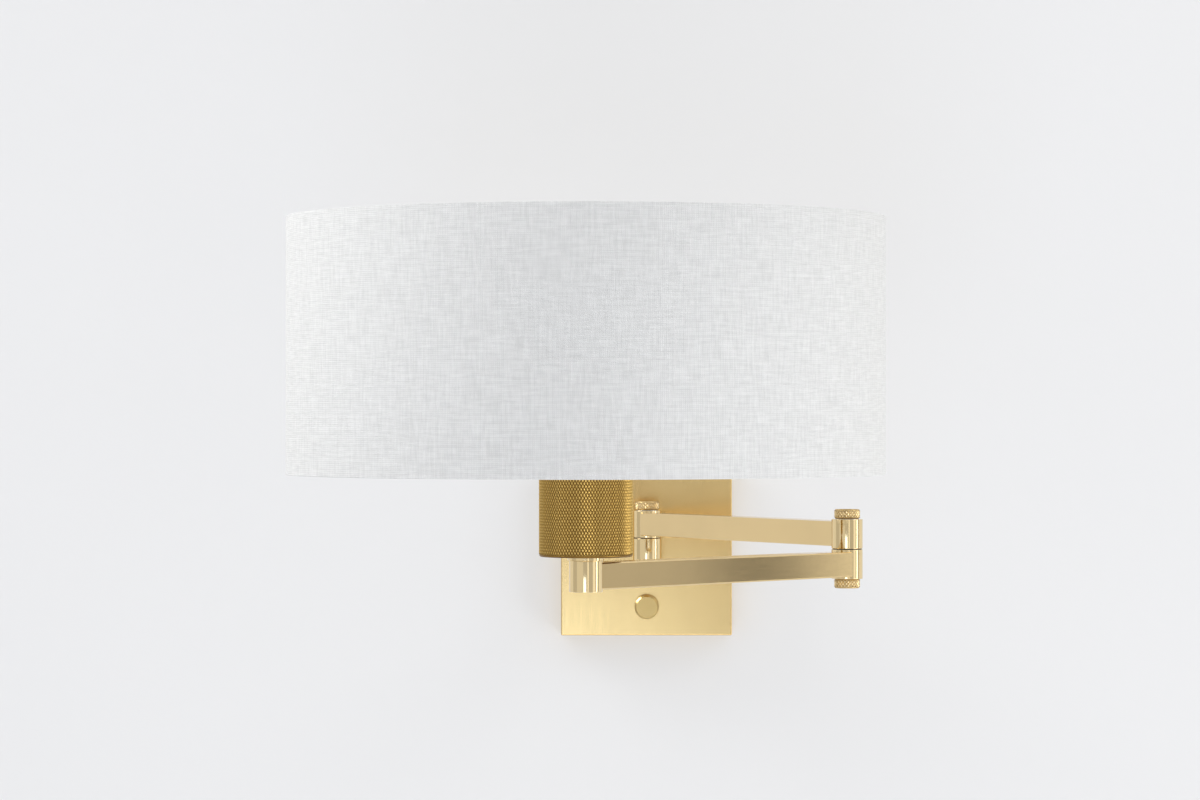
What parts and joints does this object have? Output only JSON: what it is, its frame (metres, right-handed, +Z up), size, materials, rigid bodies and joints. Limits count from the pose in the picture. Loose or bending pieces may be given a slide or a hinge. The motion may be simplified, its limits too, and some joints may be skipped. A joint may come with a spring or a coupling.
{
  "type": "swing arm wall sconce",
  "caption": "Wall sconce with a square backplate, a folding two-part swing arm on knurled knuckles, a rotary dimmer and a drum shade over a knurled socket cup.",
  "frame": {"origin": "centre of the wall bracket's slot pattern, in the plane of the wall", "axes": "+X to the viewer's right, +Y into the wall, +Z up"},
  "size_m": [0.3556, 0.6123, 0.2732],
  "materials": {
    "satin_brass": "satin brushed, clear lacquered",
    "polished_brass": "polished, clear lacquered",
    "knurled_brass": "diamond knurled",
    "plain_brass": "as turned",
    "zinc_steel": "zinc plated",
    "green_steel": "green passivated",
    "nylon": "moulded nylon",
    "phenolic": "moulded phenolic",
    "dimmer_case": "moulded",
    "connector_cap": "moulded",
    "lead_jacket": "extruded PVC",
    "white_steel": "white powder coat",
    "linen": "plain woven linen",
    "liner": "matt white styrene film",
    "hem_tape": "woven tape",
    "opal_glass": "frosted inside",
    "aluminium_cap": "rolled thread"
  },
  "bodies": {
    "root": {"mounting_bracket": "zinc_steel", "ground_screw": "green_steel", "backplate": "satin_brass", "cover_screws": "zinc_steel", "wall_post": "satin_brass", "post_nipple": "plain_brass", "post_washer": "zinc_steel", "post_nut": "zinc_steel", "wall_barrel": "polished_brass", "wall_pin": "plain_brass", "wall_thrust_washer": "nylon", "wall_wave_washer": "zinc_steel", "wall_top_finial": "knurled_brass", "wall_bottom_finial": "knurled_brass", "wire_connectors": "connector_cap", "canopy_wires": "lead_jacket", "dimmer_body": "dimmer_case", "dimmer_bushing": "plain_brass", "dimmer_nut": "zinc_steel"},
    "knob": {"dimmer_shaft": "zinc_steel", "dimmer_knob": "satin_brass", "knob_set_screw": "zinc_steel"},
    "upper_arm": {"upper_arm_bar": "satin_brass", "upper_arm_wall_barrel": "polished_brass", "upper_arm_elbow_barrel": "polished_brass", "wall_bushing": "nylon", "elbow_bushing": "nylon", "upper_arm_wire": "lead_jacket"},
    "lower_arm": {"lower_arm_bar": "satin_brass", "lower_arm_elbow_barrel": "polished_brass", "lower_arm_lamp_barrel": "polished_brass", "lower_arm_wire": "lead_jacket", "elbow_pin": "plain_brass", "elbow_thrust_washer": "nylon", "elbow_wave_washer": "zinc_steel", "elbow_top_finial": "knurled_brass", "elbow_bottom_finial": "knurled_brass", "head_nipple": "plain_brass", "head_collar": "polished_brass", "knurled_cup": "knurled_brass", "cup_washer": "zinc_steel", "cup_nut": "zinc_steel", "socket_cap": "zinc_steel", "socket_body": "phenolic", "screw_shell": "plain_brass", "center_contact": "plain_brass", "bulb_contact": "phenolic", "bulb_cap": "aluminium_cap", "bulb_glass": "opal_glass", "lower_ring_nut": "white_steel", "fitter_ring": "white_steel", "upper_ring_nut": "white_steel", "spider_spokes": "white_steel", "shade_bottom_ring": "white_steel", "shade_top_ring": "white_steel", "shade_bottom_hem": "hem_tape", "shade_top_hem": "hem_tape", "shade_liner": "liner", "shade_linen": "linen"}
  },
  "joints": [
    {"name": "wall_swing", "type": "hinge", "parent": "root", "child": "upper_arm", "pos_m": [0, -0.0525, 0], "axis": [0, 0, 1], "range_deg": [-64, 58]},
    {"name": "elbow_swing", "type": "hinge", "parent": "upper_arm", "child": "lower_arm", "pos_m": [0.12572, -0.25928, 0], "axis": [0, 0, -1], "range_deg": [-150, 64]},
    {"name": "dimmer_turn", "type": "hinge", "parent": "root", "child": "knob", "pos_m": [0, -0.0205, -0.04], "axis": [0, 1, 0], "range_deg": [0, 280]}
  ]
}
